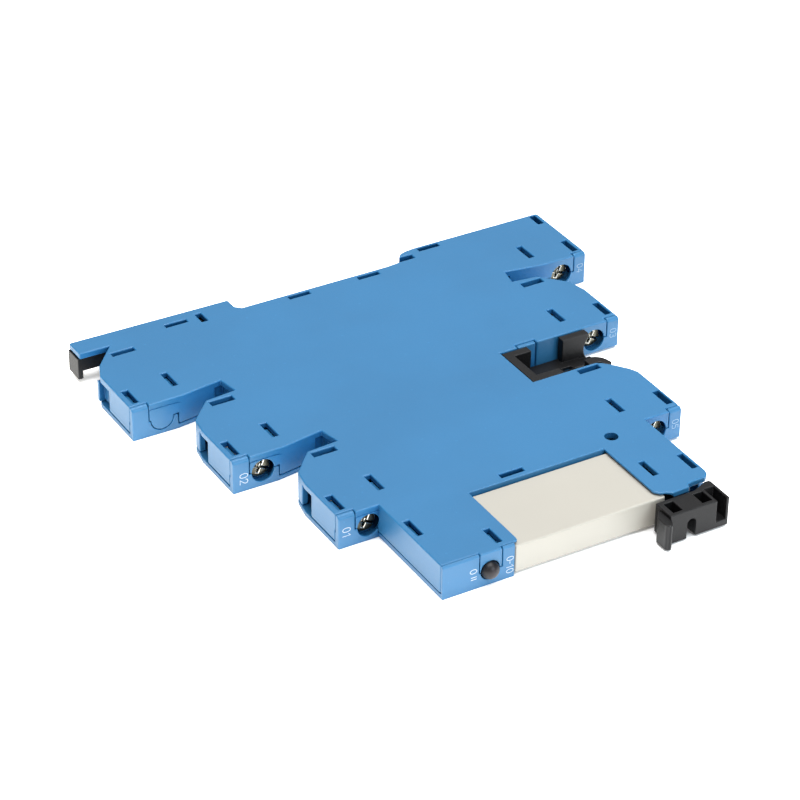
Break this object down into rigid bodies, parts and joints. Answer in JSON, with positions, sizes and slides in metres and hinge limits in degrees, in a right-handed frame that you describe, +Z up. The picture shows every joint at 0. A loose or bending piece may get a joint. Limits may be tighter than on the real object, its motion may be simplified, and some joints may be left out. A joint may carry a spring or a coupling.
{
  "type": "interface relay",
  "caption": "Slim stepped rail-mounted interface relay: blue two-part housing with screw terminals, sliding rail latch, plug-in cream relay, black release clip and indicator lamp.",
  "frame": {"origin": "under the centre of the bounding box, on the broad underside", "axes": "+Z up through the thickness, -Y towards the relay and release clip, +X towards the fixed rail hook"},
  "size_m": [0.0942, 0.0944, 0.0062],
  "materials": {
    "housing_blue": "moulded polyamide, satin, fine grain",
    "black_plastic": "moulded polyamide, satin black",
    "relay_cream": "moulded, smooth satin cream",
    "relay_base_grey": "moulded, dark grey",
    "lens_smoke": "smoky clear resin, polished",
    "screw_zinc": "bright zinc plating",
    "cage_zinc": "zinc plated folded steel",
    "strip_brass": "stamped copper alloy",
    "tinned_wire": "tinned wire",
    "board_green": "glass epoxy board with solder mask",
    "component_black": "moulded epoxy",
    "resistor_blue": "lacquered ceramic",
    "capacitor_orange": "dipped epoxy",
    "bobbin_white": "moulded white plastic",
    "winding_copper": "enamelled copper wire",
    "soft_iron": "nickel plated soft iron",
    "contact_silver": "silver alloy"
  },
  "bodies": {
    "housing": {"lower_shell": "housing_blue", "cover": "housing_blue", "link_plug": "black_plastic", "indicator_led": "lens_smoke", "led_leads": "tinned_wire", "circuit_board": "board_green", "bridge_rectifier": "component_black", "series_resistor": "resistor_blue", "surge_capacitor": "capacitor_orange", "freewheel_diode": "component_black", "conductor_a2": "strip_brass", "conductor_a1": "strip_brass", "conductor_12": "strip_brass", "conductor_11": "strip_brass", "conductor_14": "strip_brass", "coil_contact_1": "strip_brass", "coil_contact_2": "strip_brass"},
    "latch": {"rail_latch": "black_plastic"},
    "clip": {"release_clip": "black_plastic"},
    "relay": {"relay_case": "relay_cream", "relay_base": "relay_base_grey", "coil_bobbin": "bobbin_white", "coil_winding": "winding_copper", "coil_core": "soft_iron", "coil_yoke": "soft_iron", "nc_terminal": "strip_brass", "nc_contact": "contact_silver", "no_terminal": "strip_brass", "no_contact": "contact_silver", "common_terminal": "strip_brass", "coil_pins": "tinned_wire"},
    "armature": {"armature": "soft_iron"},
    "card": {"actuator_card": "bobbin_white"},
    "blade": {"moving_blade": "strip_brass", "moving_contact": "contact_silver"},
    "screw_a2": {"terminal_screw_a2": "screw_zinc"},
    "cage_a2": {"clamp_cage_a2": "cage_zinc"},
    "screw_a1": {"terminal_screw_a1": "screw_zinc"},
    "cage_a1": {"clamp_cage_a1": "cage_zinc"},
    "screw_12": {"terminal_screw_12": "screw_zinc"},
    "cage_12": {"clamp_cage_12": "cage_zinc"},
    "screw_11": {"terminal_screw_11": "screw_zinc"},
    "cage_11": {"clamp_cage_11": "cage_zinc"},
    "screw_14": {"terminal_screw_14": "screw_zinc"},
    "cage_14": {"clamp_cage_14": "cage_zinc"}
  },
  "joints": [
    {"name": "latch_slide", "type": "slide", "parent": "housing", "child": "latch", "axis": [-1, 0, 0], "range_m": [0, 0.0026], "stiffness_N_per_m": 800},
    {"name": "clip_pivot", "type": "hinge", "parent": "housing", "child": "clip", "pos_m": [0.0191, -0.02435, 0.003], "axis": [0, 0, 1], "range_deg": [0, 16]},
    {"name": "relay_eject", "type": "slide", "parent": "housing", "child": "relay", "axis": [0, -1, 0], "range_m": [0, 0.0013]},
    {"name": "armature_pivot", "type": "hinge", "parent": "relay", "child": "armature", "pos_m": [0.00605, -0.03485, 0.0031], "axis": [0, 0, 1], "range_deg": [0, 6], "stiffness_Nm_per_rad": 0.01},
    {"name": "card_slide", "type": "slide", "parent": "relay", "child": "card", "axis": [1, 0, 0], "range_m": [0, 0.00033]},
    {"name": "blade_flex", "type": "hinge", "parent": "relay", "child": "blade", "pos_m": [0.0104, -0.02745, 0.0031], "axis": [0, 0, 1], "range_deg": [0, 2]},
    {"name": "screw_a2_turn", "type": "hinge", "parent": "housing", "child": "screw_a2", "pos_m": [-0.0342, 0.0028, 0.00295], "axis": [0, 1, 0], "range_deg": [0, 1080]},
    {"name": "cage_a2_rise", "type": "slide", "parent": "housing", "child": "cage_a2", "axis": [0, -1, 0], "range_m": [0, 0.0015]},
    {"name": "screw_a1_turn", "type": "hinge", "parent": "housing", "child": "screw_a1", "pos_m": [-0.027, -0.019, 0.00295], "axis": [0, 1, 0], "range_deg": [0, 1080]},
    {"name": "cage_a1_rise", "type": "slide", "parent": "housing", "child": "cage_a1", "axis": [0, -1, 0], "range_m": [0, 0.0015]},
    {"name": "screw_12_turn", "type": "hinge", "parent": "housing", "child": "screw_12", "pos_m": [0.042, 0.032, 0.00295], "axis": [0, 1, 0], "range_deg": [0, 1080]},
    {"name": "cage_12_rise", "type": "slide", "parent": "housing", "child": "cage_12", "axis": [0, -1, 0], "range_m": [0, 0.0015]},
    {"name": "screw_11_turn", "type": "hinge", "parent": "housing", "child": "screw_11", "pos_m": [0.03475, 0.0103, 0.00295], "axis": [0, 1, 0], "range_deg": [0, 1080]},
    {"name": "cage_11_rise", "type": "slide", "parent": "housing", "child": "cage_11", "axis": [0, -1, 0], "range_m": [0, 0.0015]},
    {"name": "screw_14_turn", "type": "hinge", "parent": "housing", "child": "screw_14", "pos_m": [0.0276, -0.019, 0.00295], "axis": [0, 1, 0], "range_deg": [0, 1080]},
    {"name": "cage_14_rise", "type": "slide", "parent": "housing", "child": "cage_14", "axis": [0, -1, 0], "range_m": [0, 0.0015]}
  ],
  "couplings": [
    {"joint": "clip_pivot", "follows": "relay_eject", "rad_per_m": 212.7},
    {"joint": "armature_pivot", "follows": "card_slide", "rad_per_m": 312.5},
    {"joint": "blade_flex", "follows": "card_slide", "rad_per_m": 93.4},
    {"joint": "screw_a2_turn", "follows": "cage_a2_rise", "rad_per_m": 12566},
    {"joint": "screw_a1_turn", "follows": "cage_a1_rise", "rad_per_m": 12566},
    {"joint": "screw_12_turn", "follows": "cage_12_rise", "rad_per_m": 12566},
    {"joint": "screw_11_turn", "follows": "cage_11_rise", "rad_per_m": 12566},
    {"joint": "screw_14_turn", "follows": "cage_14_rise", "rad_per_m": 12566}
  ]
}
